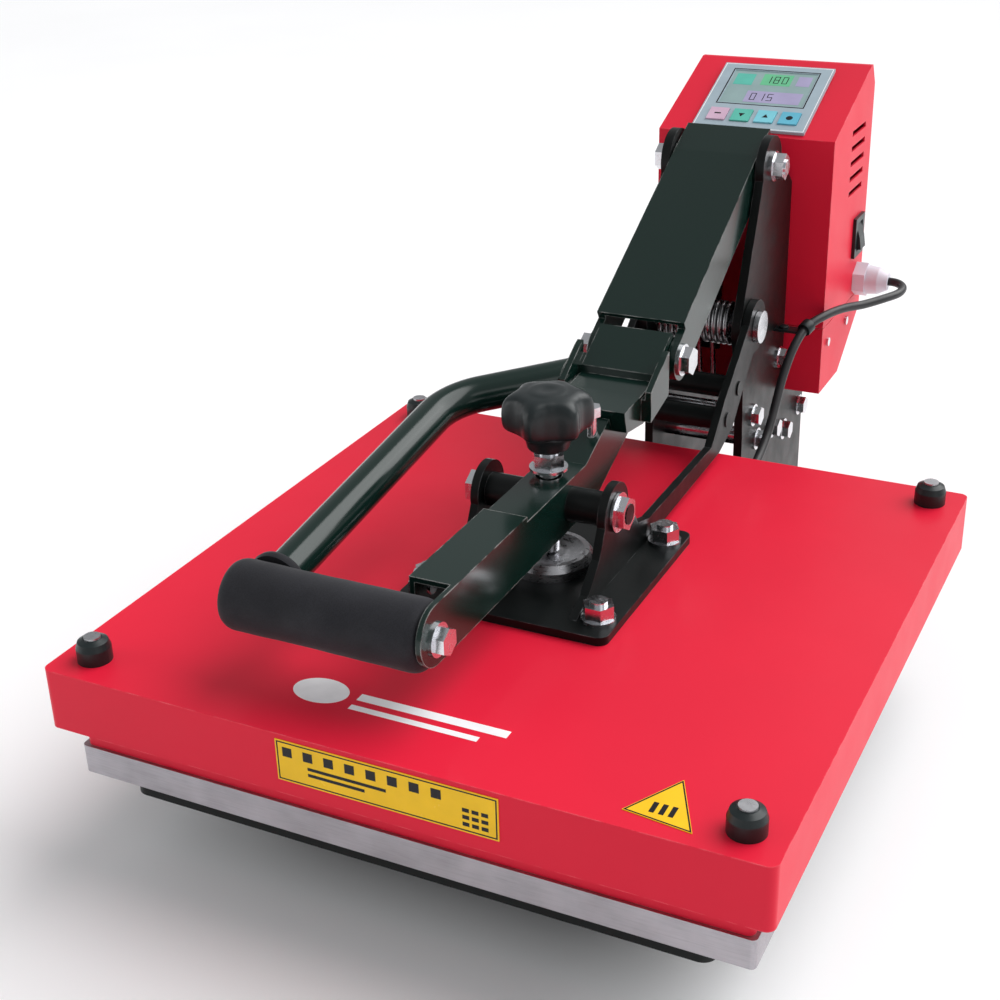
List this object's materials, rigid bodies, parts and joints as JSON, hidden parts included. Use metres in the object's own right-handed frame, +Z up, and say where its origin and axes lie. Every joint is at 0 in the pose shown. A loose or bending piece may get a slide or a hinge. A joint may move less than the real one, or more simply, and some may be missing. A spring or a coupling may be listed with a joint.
{
  "type": "heat press",
  "caption": "Clamshell heat press: hinged heated head over a padded table, toggle lever with foam grip, pressure knob and control box.",
  "frame": {"origin": "on the floor under the middle of the press: half way across its width and half way between the head's front edge and the power inlet's rear face, at the bottom of the rubber feet", "axes": "+X to the operator's right, +Y from the operator to the back, +Z up"},
  "size_m": [0.4, 0.6484, 0.3385],
  "materials": {
    "black_powdercoat": "satin",
    "black_gloss_paint": "gloss",
    "red_paint": "gloss",
    "black_rubber": "matte",
    "silicone": "matte",
    "foam": "matte",
    "zinc": "satin",
    "zinc_dull": "satin",
    "spring_steel": "satin",
    "element_steel": "satin",
    "platen_aluminium": "satin",
    "panel_film": "gloss",
    "display_glass": "gloss",
    "board_green": "matte",
    "relay_blue": "gloss",
    "white_plastic": "satin",
    "pale_plastic": "satin",
    "black_plastic": "satin",
    "key_pink": "gloss",
    "key_green": "gloss",
    "key_cyan": "gloss",
    "key_blue": "gloss",
    "lead_sheath": "satin",
    "insulation": "matte",
    "label_yellow": "gloss"
  },
  "bodies": {
    "base": {"base_spine": "black_powdercoat", "base_cross_bars": "black_powdercoat", "rubber_feet": "black_rubber", "foot_screws": "zinc", "table_plate": "black_powdercoat", "table_screws": "zinc", "silicone_pad": "silicone", "post_plate_left": "black_powdercoat", "post_plate_right": "black_powdercoat", "post_tie_rods": "zinc", "post_bolts": "zinc", "top_pivot_bolt": "zinc", "top_pivot_washers": "zinc", "arm_pivot_pin": "zinc", "lift_spring_left": "spring_steel", "lift_spring_right": "spring_steel", "control_box_hood": "red_paint", "control_box_tub": "red_paint", "control_box_screws": "zinc", "display_panel": "panel_film", "display_window": "display_glass", "circuit_board": "board_green", "power_relay": "relay_blue", "terminal_block": "white_plastic", "power_inlet": "black_plastic", "switch_frame": "black_plastic", "lead_gland": "pale_plastic", "heater_lead": "lead_sheath"},
    "press_head": {"cover_gland": "black_plastic", "arm_plate_left": "black_powdercoat", "arm_plate_right": "black_powdercoat", "arm_cross_ties": "black_powdercoat", "centre_plate": "black_powdercoat", "plate_bolts": "zinc", "pressure_disc": "zinc_dull", "cover_shell": "red_paint", "cover_skirt": "red_paint", "insulation_board": "insulation", "heating_element": "element_steel", "heat_platen": "platen_aluminium", "thermostat": "white_plastic", "corner_knobs": "black_plastic", "corner_caps": "zinc_dull", "caution_labels": "label_yellow"},
    "lever": {"lever_channel": "black_gloss_paint", "lever_yoke": "black_gloss_paint", "lever_pivot_block": "black_powdercoat", "lever_pivot_nuts": "zinc", "handle_bar": "black_gloss_paint", "foam_grip": "foam", "lever_bolts": "zinc"},
    "link": {"toggle_link": "black_gloss_paint", "toggle_bolts": "zinc"},
    "screw": {"pressure_screw": "zinc"},
    "knob": {"pressure_knob": "black_plastic"},
    "rocker": {"switch_rocker": "black_plastic"},
    "key_a": {"key_1": "key_pink"},
    "key_b": {"key_2": "key_green"},
    "key_c": {"key_3": "key_cyan"},
    "key_d": {"key_4": "key_blue"}
  },
  "joints": [
    {"name": "head_open", "type": "hinge", "parent": "base", "child": "press_head", "pos_m": [0, 0.1312, 0.196], "axis": [-1, 0, 0], "range_deg": [0, 38]},
    {"name": "link_swing", "type": "hinge", "parent": "base", "child": "link", "pos_m": [0, 0.1682, 0.296], "axis": [-1, 0, 0], "range_deg": [0, 4.28]},
    {"name": "lever_swing", "type": "hinge", "parent": "press_head", "child": "lever", "pos_m": [0, -0.1168, 0.169], "axis": [-1, 0, 0], "range_deg": [0, 27.64]},
    {"name": "screw_feed", "type": "slide", "parent": "lever", "child": "screw", "axis": [0, 0, 1], "range_m": [0, 0.0035]},
    {"name": "knob_turn", "type": "hinge", "parent": "screw", "child": "knob", "pos_m": [0, -0.1168, 0.214], "axis": [0, 0, 1], "range_deg": [0, 720]},
    {"name": "rocker_tilt", "type": "hinge", "parent": "base", "child": "rocker", "pos_m": [0.062, 0.2982, 0.216], "axis": [0, 1, 0], "range_deg": [0, 12]},
    {"name": "press_key_1", "type": "slide", "parent": "base", "child": "key_a", "axis": [0, 0.3778, -0.9259], "range_m": [0, 0.0008], "stiffness_N_per_m": 500, "springref_m": -0.0004},
    {"name": "press_key_2", "type": "slide", "parent": "base", "child": "key_b", "axis": [0, 0.3778, -0.9259], "range_m": [0, 0.0008], "stiffness_N_per_m": 500, "springref_m": -0.0004},
    {"name": "press_key_3", "type": "slide", "parent": "base", "child": "key_c", "axis": [0, 0.3778, -0.9259], "range_m": [0, 0.0008], "stiffness_N_per_m": 500, "springref_m": -0.0004},
    {"name": "press_key_4", "type": "slide", "parent": "base", "child": "key_d", "axis": [0, 0.3778, -0.9259], "range_m": [0, 0.0008], "stiffness_N_per_m": 500, "springref_m": -0.0004}
  ],
  "couplings": [
    {"joint": "link_swing", "follows": "head_open", "ratio": 0.11207},
    {"joint": "lever_swing", "follows": "head_open", "ratio": 0.72674},
    {"joint": "knob_turn", "follows": "screw_feed", "rad_per_m": 3590.4}
  ]
}
